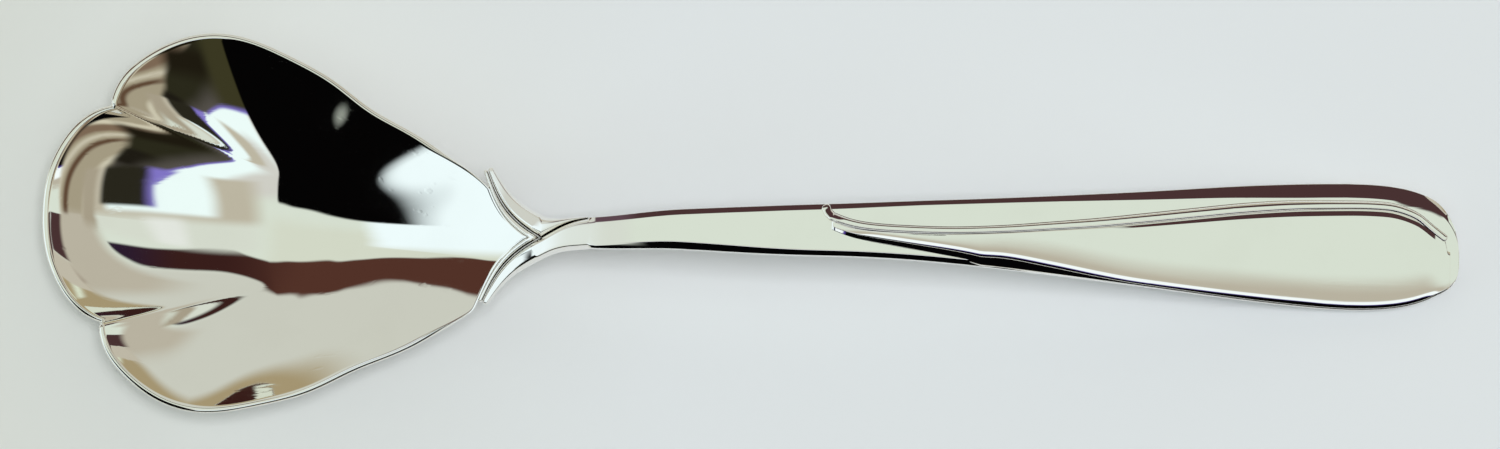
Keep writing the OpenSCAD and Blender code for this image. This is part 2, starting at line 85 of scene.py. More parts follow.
SIDE_SHARES = [[0.3, 0.3], [0.33, 0.45], [0.4, 0.6], [0.464, 0.78], [0.5, 1.0], [0.54, 1.15], [0.6, 0.78],
               [0.66, 0.38], [0.72, 0.16], [1.16, 0.14]]
GUTTER_SHARES = [[0.3, 0], [0.4, 0.05], [0.54, 0.12], [0.675, 0.22], [0.81, 0.38], [0.94, 0.52], [1.16, 0.55]]
LEAF_BASE, WALL_DROP, GUTTER_TILT, RIB_POWER, CURL = 0.42, 0.72, 9.0, 3.2, 0.75 * RIB_W
LEAF_FOOT = 14.0

# Tilt of the leaf's face by distance from its lower edge
FACE_TILTS = [(0, 60), (0.05, 34), (0.12, 25), (0.45, 18), (0.6, 12), (0.85, 8), (1.4, 6), (2.3, 4.8),
              (3.2, 3), (5, 0.6), (7, 0), (20, 0)]

# Widths of the borders along the handle's upper face, by place, and their tilts
UPPER_BORDER = [[0, 0.62], [0.3, 0.6], [0.42, 0.54], [0.54, 0.62], [0.675, 0.82], [0.81, 1.15], [0.94, 1.5],
                [1.16, 1.5]]
LOWER_BORDER = [[0, 0.35], [0.1, 0.8], [0.3, 0.6], [1.16, 0.6]]
END_BORDER, EDGE_BLUNT = 1.5, 0.04
UPPER_TILT, LOWER_TILT = 8.5, 36.0

# Points of a bar's section: round each corner and between two corners, and where the borders lie in it
CORNER_STEPS, FACE_STEPS = 9, 5
UPPER_COLUMNS, INSIDE_COLUMNS = slice(0, CORNER_STEPS), slice(CORNER_STEPS, CORNER_STEPS + FACE_STEPS)
LOWER_COLUMNS = slice(2 * CORNER_STEPS + FACE_STEPS - 1, CORNER_STEPS + FACE_STEPS - 1, -1)


# Small maths
def lerp(a, b, t):
    return a + (b - a) * t


def limit(t):
    return np.clip(t, 0.0, 1.0)


def ease(t):
    return t * t * (3 - 2 * t)


def cosd(a):
    return np.cos(np.radians(a))


def sind(a):
    return np.sin(np.radians(a))


def curve(table, x):
    """Cubic through the points of a table of [place, value], with the slope at each point
    taken from its two neighbours."""
    px, py = np.array(table, float).T
    last = len(px) - 1
    before = np.maximum(np.arange(last + 1) - 1, 0)
    after = np.minimum(np.arange(last + 1) + 1, last)
    slopes = (py[after] - py[before]) / (px[after] - px[before])
    i = np.clip(np.searchsorted(px, x, side="right") - 1, 0, last - 1)
    step = px[i + 1] - px[i]
    t = limit((x - px[i]) / step)
    return (py[i] * (1 + 2 * t) * (1 - t) ** 2 + slopes[i] * step * t * (1 - t) ** 2
            + py[i + 1] * ease(t) - slopes[i + 1] * step * t * t * (1 - t))


# Bowl
def rim_waves():
    """Coefficients of the sum of cosines that passes through the rim's stations."""
    last = len(RIM_SHARES) - 1
    j = np.arange(last + 1)
    half = np.where((j == 0) | (j == last), 0.5, 1.0)
    return half * 2 / last * (cosd(180.0 * np.outer(j, j) / last) @ (half * RIM_SHARES))


WAVES = rim_waves()


def from_tip(a):
    """Angle from the tip, 0 to 180 on either side."""
    return np.degrees(np.arccos(np.clip(cosd(a), -1, 1)))


def heel_part(a):
    """0 round the bowl and 1 beside the fork."""
    return ease(limit((from_tip(a) - 148) / 15))


def plan(a, s):
    """Ellipse through the front length and the half width, s times as large."""
    return -BOWL_FRONT_L * s * cosd(a), HALF_W * s * sind(a)


def fork_r(b):
    """Radius of the fork's edge: from the heel's to the shoulders' by an exponential of the angle."""
    return SHOULDER_L + (HEEL_L - SHOULDER_L) * np.exp(-np.abs(b) / FORK_FLARE)


def lobes(a):
    """Smooth lobed outline, without notches and without the fork's cut at the heel."""
    return cosd(np.multiply.outer(a, np.arange(len(WAVES)))) @ WAVES + LEAN_SHARE * sind(2 * a)


def near_rim(a):
    """Rim without notches: the smaller of the lobed outline and the fork's edge, rounded where they meet."""
    r = lobes(a) + ease(limit((from_tip(a) - 165) / 8))
    x, y = plan(a, 1.0)
    f = np.where(x > 0, fork_r(np.degrees(np.arctan2(y, x)) - FORK_TURN) / np.hypot(x, y), 2.0)
    k = limit(0.5 + (f - r) / (2 * SHOULDER_SHARE))
    return lerp(f, r, k) - SHOULDER_SHARE * k * (1 - k)


def outline(a):
    """Rim with its notches, each the cube of a triangle."""
    notch = NOTCH_DEPTH / HALF_W * limit(1 - np.abs(from_tip(a) - NOTCH_AT) / NOTCH_SPREAD) ** 3
    return near_rim(a) - notch


def inner_rim(a):
    return outline(a) - RIM_LEAN * RIM_WALL / HALF_W * (1 - heel_part(a))


def rim_height(a):
    """Curve through the heights at the tip, the sides, the waist and the heel."""
    stations = [[-90, SIDE_H], [0, TIP_H], [90, SIDE_H], [135, WAIST_H], [180, HEEL_H], [225, WAIST_H]]
    return curve(stations, from_tip(a))


def dish(g, e):
    """Conic profile from 0 in the middle to 1 at the rim: e is 1 for a circle, 0 for a parabola."""
    return (1 - np.sqrt(np.maximum(1 - e * g * g, 0))) / (1 - np.sqrt(1 - e))


def ridge(x, y):
    """Height of the fold that runs inward from each notch: falls off along and across its line."""
    nx, ny = plan(NOTCH_AT, outline(np.array(NOTCH_AT)))
    qx, qy = x - nx, np.abs(y) - ny
    turn = RIDGE_TURN + RIDGE_SKEW * np.sign(y)
    along = qx * cosd(turn) - qy * sind(turn)
    across = qx * sind(turn) + qy * cosd(turn)
    width = limit(1 - np.hypot(across / RIDGE_W, FOLD_ROUND)) ** 3 / (1 - FOLD_ROUND) ** 3
    return RIDGE_H * (1 - limit(along / RIDGE_L) ** 2) ** 1.5 * width


def bowl_z(a, s):
    """Inner face: a dish whose level lines change from ellipses at the low point to the rim's own shape."""
    full = lobes(a)
    t = ease(limit(s / full))
    g = s / lerp(1, full, t)
    top = lerp(SIDE_H, rim_height(a), t)
    x, y = plan(a, s)
    bend = lerp(MIDDLE_BEND, curve(BEND_SHARES, from_tip(a)), t)
    return BOWL_FLOOR + (top - BOWL_FLOOR) * dish(g, bend) + ridge(x, y)


def placed(p):
    """From the bowl's own frame to the handle's."""
    c, s = cosd(BOWL_TURN), sind(BOWL_TURN)
    return np.stack([BOWL_FRONT_L + p[..., 0] * c + p[..., 1] * s,
                     BOWL_SIDE - p[..., 0] * s + p[..., 1] * c, p[..., 2]], -1)


def inner_point(a, s):
    x, y = plan(a, s)
    return np.stack([x, y, bowl_z(a, s)], -1)


def outer_point(a, s):
    """One wall away from the dish's centre, straight down at the heel, and flat where it rests."""
    p = inner_point(a, s)
    away = p - np.array([0, 0, BOWL_FLOOR + DISH_R])
    away /= np.linalg.norm(away, axis=-1, keepdims=True)
    wall = lerp(BOWL_WALL, RIM_WALL, limit(s / outline(a)) ** 2)[..., None]
    q = p + wall * lerp(away, np.array([0, 0, -1.0]), heel_part(a)[..., None])
    q[..., 2] = np.maximum(0, q[..., 2])
    return q


# Fork and handle
def angle_at(x, y):
    return np.degrees(np.arctan2(y / HALF_W, -x / BOWL_FRONT_L))


def fork_edge(b):
    """Edge of the bowl beside the fork, b degrees from the fork's middle line."""
    x, y = fork_r(b) * cosd(FORK_TURN + b), fork_r(b) * sind(FORK_TURN + b)
    z = bowl_z(angle_at(x, y), np.hypot(x / BOWL_FRONT_L, y / HALF_W))
    return placed(np.stack([x, y, z], -1))


def edge_away(b):
    """Outward direction of that edge in plan."""
    d = fork_edge(b + np.where(b < 0, -0.1, 0.1)) - fork_edge(b)
    n = np.stack([d[..., 1], -d[..., 0], 0 * d[..., 0]], -1)
    n /= np.linalg.norm(n, axis=-1, keepdims=True)
    return np.where(n[..., :1] > 0, n, -n)


def beside(b, d):
    """Point d away from that edge."""
    return fork_edge(b) + np.asarray(d)[..., None] * edge_away(b)


def mitred(d):
    """On the fork's middle line, d away from both of the bowl's edges."""
    axis = np.array([cosd(FORK_TURN - BOWL_TURN), sind(FORK_TURN - BOWL_TURN), 0])
    return fork_edge(np.array(0.0)) + d / (edge_away(np.array(0.001)) @ axis) * axis


def fork_fade(b):
    """0 at the bottom of the fork and 1 at its ends."""
    return ease(limit(np.abs(b) / FORK_END))


def bead_at(b):
    return BEAD_W * (1 - 0.4 * fork_fade(b))


def arm_at(b):
    return lerp(ARM_W, ARM_TIP_W, np.abs(b) / FORK_END)


def fork_top(b):
    return fork_edge(b)[..., 2] + ARM_RISE * (1 - 0.5 * fork_fade(b))


def fork_bottom(b):
    return fork_edge(b)[..., 2] - FORK_DEPTH * (1 - 0.4 * fork_fade(b))


def bezier(a, b, c, d, t):
    t = np.asarray(t)[..., None]
    return (1 - t) ** 3 * a + 3 * (1 - t) ** 2 * t * b + 3 * (1 - t) * t * t * c + t**3 * d


TIP_X = placed(outer_point(np.linspace(-40, 40, 801), inner_rim(np.linspace(-40, 40, 801))))[..., 0].min()
STEM_START = fork_edge(np.array(0.0))[0] + ARM_TAIL_L
END_X = TIP_X + OVERALL_L
END_START = END_X - HANDLE_END_L


def place(x):
    """Share of the way from the stem's free start to the handle's rounded end."""
    return (x - STEM_START) / (END_START - STEM_START)


def x_at(share):
    return lerp(STEM_START, END_START, share)


def half_at(x):
    """Half width of the handle: a table up to the rounded end, then a superellipse."""
    out = limit((x - END_START) / HANDLE_END_L)
    end = HALF_SHARES[-1][1] * limit(1 - out**END_POWER) ** (1 / END_POWER)
    return HANDLE_W / 2 * np.where(x < END_START, curve(HALF_SHARES, place(x)), end)


def line_at(x):
    """Middle line of the handle: dips at its start, rises a little, and dips at its very end."""
    return (LINE_RISE * ease(limit((place(x) - 0.2) / 0.25)) - LINE_DIP * (1 - ease(limit(place(x) / 0.12)))
            - END_DIP * limit(4 * (x - END_START) / HANDLE_END_L - 3) ** 2)


def bottom_at(x):
    return np.maximum(0, ARCH_H * curve(ARCH_SHARES, place(x)))


def thick_at(x):
    """From the stem's thickness to the flat handle's."""
    return lerp(STEM_T, BLANK_T, curve(THIN_SHARES, place(x)))


def top_at(x):
    return bottom_at(x) + thick_at(x)


def round_at(x):
    return np.minimum(EDGE_R, 0.8 * half_at(x))


def run_along(b):
    """Direction along the fork's edge in plan."""
    n = edge_away(b)
    return np.stack([-n[..., 1], n[..., 0], 0 * n[..., 0]], -1)


NECK_RISE = (ARCH_H * (ARCH_SHARES[1][1] - ARCH_SHARES[0][1]) / ARCH_SHARES[1][0] * ARM_TAIL_L
             / (END_START - STEM_START))
STEM_PULL = ARM_TAIL_L / 3
MIDDLE, BESIDE_MIDDLE = np.array(0.0), np.array(0.001)


def stem_edge(side, t):
    """Plan of the stem's edges between the bottom of the fork and its free start."""
    start = mitred(BEAD_W + 2 * SEAM) if side > 0 else beside(-BESIDE_MIDDLE, BEAD_W + 2 * SEAM + ARM_W)
    finish = np.array([STEM_START, line_at(STEM_START) + side * half_at(STEM_START), 0])
    pull = STEM_PULL * run_along(-BESIDE_MIDDLE)
    return bezier(start, start + pull, finish - np.array([STEM_PULL, 0.1 * STEM_PULL, 0]), finish, t)


def neck_z(start, finish, t):
    """Cubic that starts and ends as steeply as the stem rises."""
    return start * (1 + 2 * t) * (1 - t) ** 2 + finish * ease(t) + NECK_RISE * t * (1 - t) * (1 - 2 * t)


# Meshes
def add_piece(name, points, faces, node):
    """Mesh piece from points in millimetres in the handle's frame; it stands for one CAD node."""
    shifted = (points + OFFSET) / 1000
    mesh = bpy.data.meshes.new(name)
    mesh.from_pydata(shifted.tolist(), [], faces.tolist() if isinstance(faces, np.ndarray) else faces)
    mesh.shade_smooth()
    mesh.update()
    obj = bpy.data.objects.new(name, mesh)
    bpy.context.scene.collection.objects.link(obj)
    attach(obj, "root")
    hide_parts(node)
    return obj


def ring_faces(count, n):
    """Quads between count rings of n points each, and a fan of triangles to one point at both ends.
    The first point and the last point of the mesh are the two ends."""
    i, j = np.meshgrid(np.arange(count - 1), np.arange(n), indexing="ij")
    k = (j + 1) % n
    quads = 1 + np.stack([i * n + j, i * n + k, (i + 1) * n + k, (i + 1) * n + j], -1).reshape(-1, 4)
    j = np.arange(n)
    k = (j + 1) % n
    end = 1 + count * n
    first = np.stack([0 * j, 1 + k, 1 + j], -1)
    last = np.stack([0 * j + end, end - n + j, end - n + k], -1)
    return quads.tolist() + first.tolist() + last.tolist()


def rings_piece(name, rings, start, finish, node):
    """rings is an array of count x n x 3; start and finish are the two closing points."""
    points = np.concatenate([[start], rings.reshape(-1, 3), [finish]])
    return add_piece(name, points, ring_faces(rings.shape[0], rings.shape[1]), node)


def dense(low, high, step):
    """Even places from low to high, about one step apart."""
    return np.linspace(low, high, int(round((high - low) / step)) + 1)


def bowl_angles():
    """Angles round the bowl, closer together at the notches and along the fork."""
    half = np.unique(np.concatenate([dense(0, 30, 1), dense(30, 50, 0.4), dense(50, 150, 1),
                                     dense(150, 176.6, 0.35)]))
    fork = 180 + np.degrees(np.arctan2(-sind(FORK_TURN) / HALF_W, cosd(FORK_TURN) / BOWL_FRONT_L))
    middle = fork + np.array([-2.4, -1.5, -0.8, -0.35, 0, 0.35, 0.8, 1.5, 2.4])
    low, high = half[half < middle[0] - 0.2], 360 - half[(half > 0)][::-1]
    return np.concatenate([low, middle, high[high > middle[-1] + 0.2]])


def make_bowl():
    """Inner face from the low point to the rim, a rounded rim edge, and the outer face back to its low
    point."""
    a = bowl_angles()
    rim = inner_rim(a)
    shares = np.concatenate([dense(0.015, 0.9, 0.0177), dense(0.91, 1, 0.01)])
    lip = 0.5 * RIM_WALL / HALF_W * (1 - heel_part(a)) * RIM_ROUND
    s = shares[:, None] * (rim - lip)[None, :]
    inner, outer = inner_point(a[None, :], s), outer_point(a[None, :], s)
    p, q = inner[-1], outer[-1]
    up = p - inner[-2]
    up /= np.linalg.norm(up, axis=-1, keepdims=True)
    turn = np.radians(np.arange(15, 180, 15))[:, None, None]
    rise = RIM_ROUND * RIM_WALL / 2 * (1 - 0.8 * heel_part(a))[None, :, None]
    edge = (p + q) / 2 + (p - q) / 2 * np.cos(turn) + rise * up * np.sin(turn)
    rings = placed(np.concatenate([inner, edge, outer[::-1]]))
    low = placed(np.array([0, 0, BOWL_FLOOR]))
    return rings_piece("bowl_silver", rings, low, placed(np.array([0.0, 0, 0])), "bowl")


def section_shape(flat):
    """One bar section as [across, level] pairs, counter-clockwise seen along the bar, both from -1 to 1."""
    c = np.linspace(0, 90, CORNER_STEPS)
    flat = np.asarray(flat, float)[..., None]
    side, level = flat + (1 - flat) * cosd(c), sind(c) + 0 * flat
    inside = flat * np.linspace(1, -1, FACE_STEPS + 2)[1:-1]
    one = 1 + 0 * inside
    across = np.concatenate([side, inside, -side[..., ::-1], -side[..., 1:], -inside, side[..., :0:-1]], -1)
    height = np.concatenate([level, one, level[..., ::-1], -level[..., 1:], -one, -level[..., :0:-1]], -1)
    return across, height


def bar_rings(p, q, bottom, top, flat):
    """Rings of a bar whose section at each step spans plan points p and q and heights bottom and top."""
    across, height = section_shape(flat)
    t = (1 + across)[..., None] / 2
    xy = lerp(p[:, None, :2], q[:, None, :2], t)
    z = lerp(bottom[:, None], top[:, None], (1 + height) / 2)
    return np.concatenate([xy, z[..., None]], -1)


def domed(rings, reach, first=True):
    """Rings that close one end of a bar with a rounded dome of the given reach."""
    ring, inner = (rings[0], rings[1]) if first else (rings[-1], rings[-2])
    centre = ring.mean(0)
    out = centre - inner.mean(0)
    out /= np.linalg.norm(out)
    turn = np.radians(np.array([20, 40, 58, 74]))[:, None, None]
    dome = centre + (ring - centre) * np.cos(turn) + out * reach * np.sin(turn)
    tip = centre + out * reach
    return (np.concatenate([dome[::-1], rings]), tip) if first else (np.concatenate([rings, dome]), tip)


SIDE = np.unique(np.concatenate([dense(0.001, 2, 0.2), dense(2, 6, 0.4), dense(6, FORK_END, 0.5)]))


def make_bead():
    """Thin bar along both edges of the bowl's heel, in one run from tip to tip round the fork's point."""
    def ring(b, near, far):
        f = np.full(len(np.atleast_1d(b)), FLAT)
        return bar_rings(near, far, fork_bottom(b), fork_top(b) - BEAD_DROP, f)
    b = SIDE[::-1]
    upper = ring(b, beside(b, SEAM - TOUCH + 0 * b), beside(b, SEAM + bead_at(b)))
    middle = ring(np.array([0.0]), mitred(SEAM - TOUCH)[None], mitred(SEAM + BEAD_W)[None])
    lower = ring(-SIDE, beside(-SIDE, SEAM - TOUCH + 0 * b), beside(-SIDE, SEAM + bead_at(SIDE)))
    rings, start = domed(np.concatenate([upper, middle, lower]), 0.25)
    rings, finish = domed(rings, 0.25, first=False)
    return rings_piece("heel_bead_silver", rings, start, finish, "heel_bead")


def end_distance(points):
    """Distance in plan from points to the outline of the handle's rounded end."""
    a = np.radians(np.linspace(-90, 90, 721))
    x = END_START + HANDLE_END_L * np.cos(a) ** (2 / END_POWER)
    y = line_at(x) + HALF_SHARES[-1][1] * HANDLE_W / 2 * np.sign(a) * np.abs(np.sin(a)) ** (2 / END_POWER)
    near = np.stack([x, y], -1)
    near = np.concatenate([near, [[END_START - 4, y[0]]], [[END_START - 4, y[-1]]]])
    gap = np.linalg.norm(points[..., None, :2] - near, axis=-1)
    return gap.min(-1)


def end_round(points):
    """Share of half the thickness at the handle's end: a quarter circle within one edge radius of its
    outline."""
    out = limit(1 - end_distance(points) / EDGE_R)
    return np.sqrt(1 - out**2)


def border_share(d, width, tilt, half):
    """Height of a bevelled face over the bar's middle plane, as a share of half the thickness, by distance
    from its edge."""
    drop = np.tan(np.radians(tilt)) * (width - d + np.hypot(width - d, 0.05)) / 2
    return (1 - drop / half) * np.sqrt(1 - (1 - limit(d / EDGE_BLUNT)) ** 2)


def border_steps(width):
    """Distances from the edge, dense at the blunt edge and at the border's inner line."""
    near = np.array([0, 0.012, 0.028, 0.04, 0.07])[None, :] + 0 * width[:, None]
    return np.concatenate([near, width[:, None] + np.array([-0.1, -0.03, 0.03, 0.1])], -1)


def bevel(bar, x, half, line):
    """Gives the bar's upper face a shallow border on one side and a steep one on the other."""
    thick = (thick_at(x) / 2)[:, None]
    mid = bottom_at(x)[:, None] + thick
    shrink = (half / half_at(np.minimum(x, END_START)))[:, None]
    end = x > END_START
    for side, table, tilt, columns in ((1, UPPER_BORDER, UPPER_TILT, UPPER_COLUMNS),
                                       (-1, LOWER_BORDER, LOWER_TILT, LOWER_COLUMNS)):
        width = curve(table, place(x))
        gap = border_steps(width)
        bar[:, columns, 1] = line[:, None] + side * (half[:, None] - gap * shrink)
        gap[end] = end_distance(bar[end][:, columns])
        tilts = np.where(end, lerp(tilt, UPPER_TILT, limit((x - END_START) / 3)), tilt)[:, None]
        bar[:, columns, 2] = mid + thick * border_share(gap, width[:, None], tilts, thick)
    bar[end, INSIDE_COLUMNS, 2] = mid[end] + thick[end] * border_share(
        end_distance(bar[end][:, INSIDE_COLUMNS]), END_BORDER, UPPER_TILT, thick[end])
    return bar


def make_stem():
    """Lower arm of the fork, neck, arched stem and flat handle with a rounded end."""
    b = SIDE[::-1]
    near = bead_at(b) + 2 * SEAM
    far = near + arm_at(b)
    flat = np.full(len(b), ARM_FLAT)
    arm = bar_rings(beside(-b, far), beside(-b, near), fork_bottom(-b), fork_top(-b), flat)
    t = np.linspace(0, 1, 40)[1:-1]
    neck = bar_rings(stem_edge(-1, t), stem_edge(1, t),
                     neck_z(fork_bottom(MIDDLE), bottom_at(STEM_START), t),
                     neck_z(fork_top(MIDDLE), top_at(STEM_START), t),
                     lerp(ARM_FLAT, 1 - UPPER_BORDER[0][1] / half_at(STEM_START), ease(t)))
    x = np.concatenate([dense(STEM_START, END_START, 0.7),
                        END_START + HANDLE_END_L * sind(dense(3, 88.5, 1.5)) ** (2 / END_POWER)])
    half, line = half_at(x), line_at(x)
    edge = np.stack([x, line], -1)
    side = np.stack([0 * x, half], -1)
    flat = np.maximum(1 - round_at(x) / half, FLAT)
    bar = bar_rings(edge - side, edge + side, bottom_at(x), top_at(x), flat)
    end = x > END_START
    thick = (thick_at(x) / 2)[end][:, None]
    up = np.sign(np.round(section_shape(flat)[1][end], 6))
    bar[end, :, 2] = bottom_at(x)[end][:, None] + thick + up * end_round(bar[end]) * thick
    bar = bevel(bar, x, half, line)
    rings, start = domed(np.concatenate([arm, neck, bar]), 0.3)
    last = np.array(END_X)
    finish = np.array([END_X, line_at(last), bottom_at(last) + thick_at(last) / 2])
    return rings_piece("stem_silver", rings, start, finish, "stem")


def make_upper_arm():
    """Upper arm of the fork with a tail that lies along the stem and fades into it."""
    b = SIDE[::-1]
    near = bead_at(b) + 2 * SEAM
    far = near + arm_at(b)
    arm = bar_rings(beside(b, near), beside(b, far), fork_bottom(b), fork_top(b), np.full(len(b), ARM_FLAT))
    first = SIDE[0]
    start = beside(np.array(first), bead_at(first) + 2 * SEAM + arm_at(first))
    finish = stem_edge(1, 1.0) + np.array([0, 2 * SEAM, 0])
    pull = STEM_PULL * run_along(np.array(first))
    t = np.linspace(0.02, 0.985, 40)
    low = stem_edge(1, np.maximum(0, t - 0.06)) + np.array([0, SEAM - TOUCH, 0])
    high = bezier(start, start - 0.5 * pull, finish - np.array([STEM_PULL, 0, 0]), finish, t)
    thin = TAIL_THIN * STEM_T * t
    tail = bar_rings(low, high, neck_z(fork_bottom(MIDDLE), bottom_at(STEM_START), t) + thin,
                     neck_z(fork_top(MIDDLE), top_at(STEM_START), t) - thin, np.full(len(t), FLAT))
    rings, begin = domed(np.concatenate([arm, tail]), 0.3)
    rings, end = domed(rings, 0.1, first=False)
    return rings_piece("upper_arm_silver", rings, begin, end, "upper_arm")


# Leaf and rib
def rib_y(x):
    """Middle line of the rib."""
    return HANDLE_W / 2 * curve(RIB_SHARES, place(x))


def rib_half(x):
    return RIB_W / 2 * curve(RIB_WIDTH_SHARES, place(x))


def face_z(x, y):
    """Height of the handle's top at y, with its rounded edges."""
    half, low = thick_at(x) / 2, bottom_at(x)
    along = limit((np.abs(y - line_at(x)) - (half_at(x) - round_at(x))) / round_at(x))
    points = np.stack(np.broadcast_arrays(x, y), -1)
    at_end = limit(1 - end_distance(points) / EDGE_R) if np.ndim(x) else along
    out = np.where(x > END_START, at_end, along)
    return low + half + half * np.sqrt(1 - out**2)


def inner_half(x, border):
    """Half width inside a border along the edge and round the end."""
    return np.maximum(0.02, half_at(np.minimum(x + border, END_X)) - border)


def leaf_low(x):
    """Foot of the leaf's lower side: a table, and then just inside the handle's own edge."""
    edge = line_at(x) - inner_half(x, round_at(x) * (1 - cosd(LEAF_FOOT)))
    return np.maximum(HANDLE_W / 2 * curve(LEAF_SHARES, place(x)), edge)


def leaf_profile():
    """Height of the leaf's face by distance from its lower edge, from the tilts of a rounded edge, a narrow
    chamfer and a face that flattens out."""
    d = np.concatenate([[0], np.cumsum(np.geomspace(0.01, 0.6, 40))])
    rise = np.tan(np.radians(np.interp(d, *np.transpose(FACE_TILTS))))
    z = np.concatenate([[0], np.cumsum((rise[1:] + rise[:-1]) / 2 * np.diff(d))])
    return d, z


LEAF_FINISH = float(place(END_X - 0.8 * EDGE_R))


def make_leaf():
    """Thin plate with a steep lower side, a rolled edge and a face that ends under the rib."""
    s = np.concatenate([dense(0.312, 1.06, 0.006), dense(1.063, 1.128, 0.003),
                        dense(1.13, LEAF_FINISH, 0.0008)])
    x = x_at(s)
    foot = leaf_low(x)
    edge = np.where(s > 1.13, line_at(x) + inner_half(x, EDGE_R), END_X)
    high = np.maximum(np.minimum(edge, rib_y(x)), foot + 0.05)
    rise = lerp(0.4, 1, ease(limit((s - s[0]) / 0.06))) * lerp(0.15, 1, ease(limit((LEAF_FINISH - s) / 0.04)))
    wide = np.minimum(0.45 * (high - foot), LEAF_SIDE_W * curve(SIDE_SHARES, s))
    crest = foot + wide
    d, z = leaf_profile()
    total = high - crest
    hidden = np.minimum(rib_half(x), 0.3 * total)
    gutter = np.minimum(curve(GUTTER_SHARES, s), 0.2 * total)
    bank = hidden + gutter
    tail = bank + np.minimum(0.2, 0.1 * total)
    share = np.linspace(0, 1, 44) ** 1.8
    edges = np.stack([tail, bank + 0.04, bank, bank - 0.04, hidden + 0.5 * gutter, hidden, 0 * tail], -1)
    across = np.concatenate([share * (total - tail)[:, None], (total[:, None] - edges)[:, 1:]], -1)
    from_rib = total[:, None] - across
    dip = np.tan(np.radians(GUTTER_TILT)) * limit((bank[:, None] - from_rib) / 2) * 2
    lift = np.interp(across, d, z) - dip
    top = top_at(x)[:, None] + rise[:, None] * (LEAF_BASE + lift)
    face = np.stack([x[:, None] + 0 * across, crest[:, None] + across, top], -1)
    t = np.array([0.06, 0.16, 0.3, 0.45, 0.6, 0.75, 0.88])[::-1]
    low = np.maximum(face_z(x, foot), top[:, 0] - WALL_DROP * wide)
    side = np.stack([x[:, None] + 0 * t, lerp(crest[:, None], foot[:, None], t[::-1]),
                     lerp(top[:, :1], low[:, None], t[::-1])], -1)
    under = np.stack([x, foot, low - 0.15], -1)[:, None]
    back = np.stack([x, high, top_at(x) - 0.15], -1)[:, None]
    rings = np.concatenate([under, back, face[:, ::-1], side], 1)
    return rings_piece("leaf_silver", rings, rings[0].mean(0), rings[-1].mean(0), "handle_leaf")


def make_rib():
    """Rounded bead along the leaf's upper edge that starts in a curl over the stem's edge."""
    first = x_at(RIB_SHARES[0][0])
    s = dense(RIB_SHARES[0][0], RIB_SHARES[-1][0], 0.004)
    x = np.concatenate([[first - 0.7 * CURL, first - 0.45 * CURL], x_at(s)])
    y = np.concatenate([rib_y(first) + CURL * np.array([1, 0.45]), rib_y(x_at(s))])
    way = np.concatenate([[0], np.cumsum(np.hypot(np.diff(x), np.diff(y)))])
    even = np.unique(np.concatenate([dense(0, 2.5, 0.08), dense(2.5, way[-1] - 3, 0.35),
                                     dense(way[-1] - 3, way[-1], 0.12)]))
    x, y = np.interp(even, way, x), np.interp(even, way, y)
    # The curl's corner is rounded by averaging its first points with their neighbours
    for _ in range(6):
        y[1:12] = (y[:11] + 2 * y[1:12] + y[2:13]) / 4
        x[1:12] = (x[:11] + 2 * x[1:12] + x[2:13]) / 4
    d = np.stack([np.gradient(x), np.gradient(y)], -1)
    d /= np.linalg.norm(d, axis=-1, keepdims=True)
    n = np.stack([-d[:, 1], d[:, 0]], -1)
    to_end = even[-1] - even
    fade = lerp(0.35, 1, ease(limit(even / 3.0))) * lerp(0.35, 1, ease(limit(to_end / 5)))
    turn = np.linspace(-6, 186, 65)
    k, up = (np.sign(w) * np.abs(w) ** (2 / RIB_POWER) for w in (cosd(turn), sind(turn)))
    xy = np.stack([x, y], -1)[:, None] + k[None, :, None] * (n * rib_half(x)[:, None])[:, None]
    z = top_at(x)[:, None] + up[None] * (RIB_T * fade)[:, None]
    rings = np.concatenate([xy, z[..., None]], -1)
    rings, start = domed(rings, 0.35)
    rings, finish = domed(rings, 0.3, first=False)
    return rings_piece("rib_silver", rings, start, finish, "leaf_rib")


# Node groups and materials
SILVER, WORN_SILVER, ROUGHNESS = (0.95, 0.93, 0.885), (0.55, 0.5, 0.42), 0.035
HAND_WORK, HAIR_TURNS = 1.0, (0.35, -0.9, 1.9)


def socket(group, name, kind, way, default=None):
    made = group.interface.new_socket(name=name, in_out=way, socket_type=kind)
    if default is not None:
        made.default_value = default
    return made


def math_node(nodes, links, kind, a, b=None):
    n = nodes.new("ShaderNodeMath")
    n.operation = kind
    for i, value in enumerate((a, b)):
        if value is None:
            continue
        if isinstance(value, (int, float)):
            n.inputs[i].default_value = value
        else:
            links.new(value, n.inputs[i])
    return n.outputs[0]


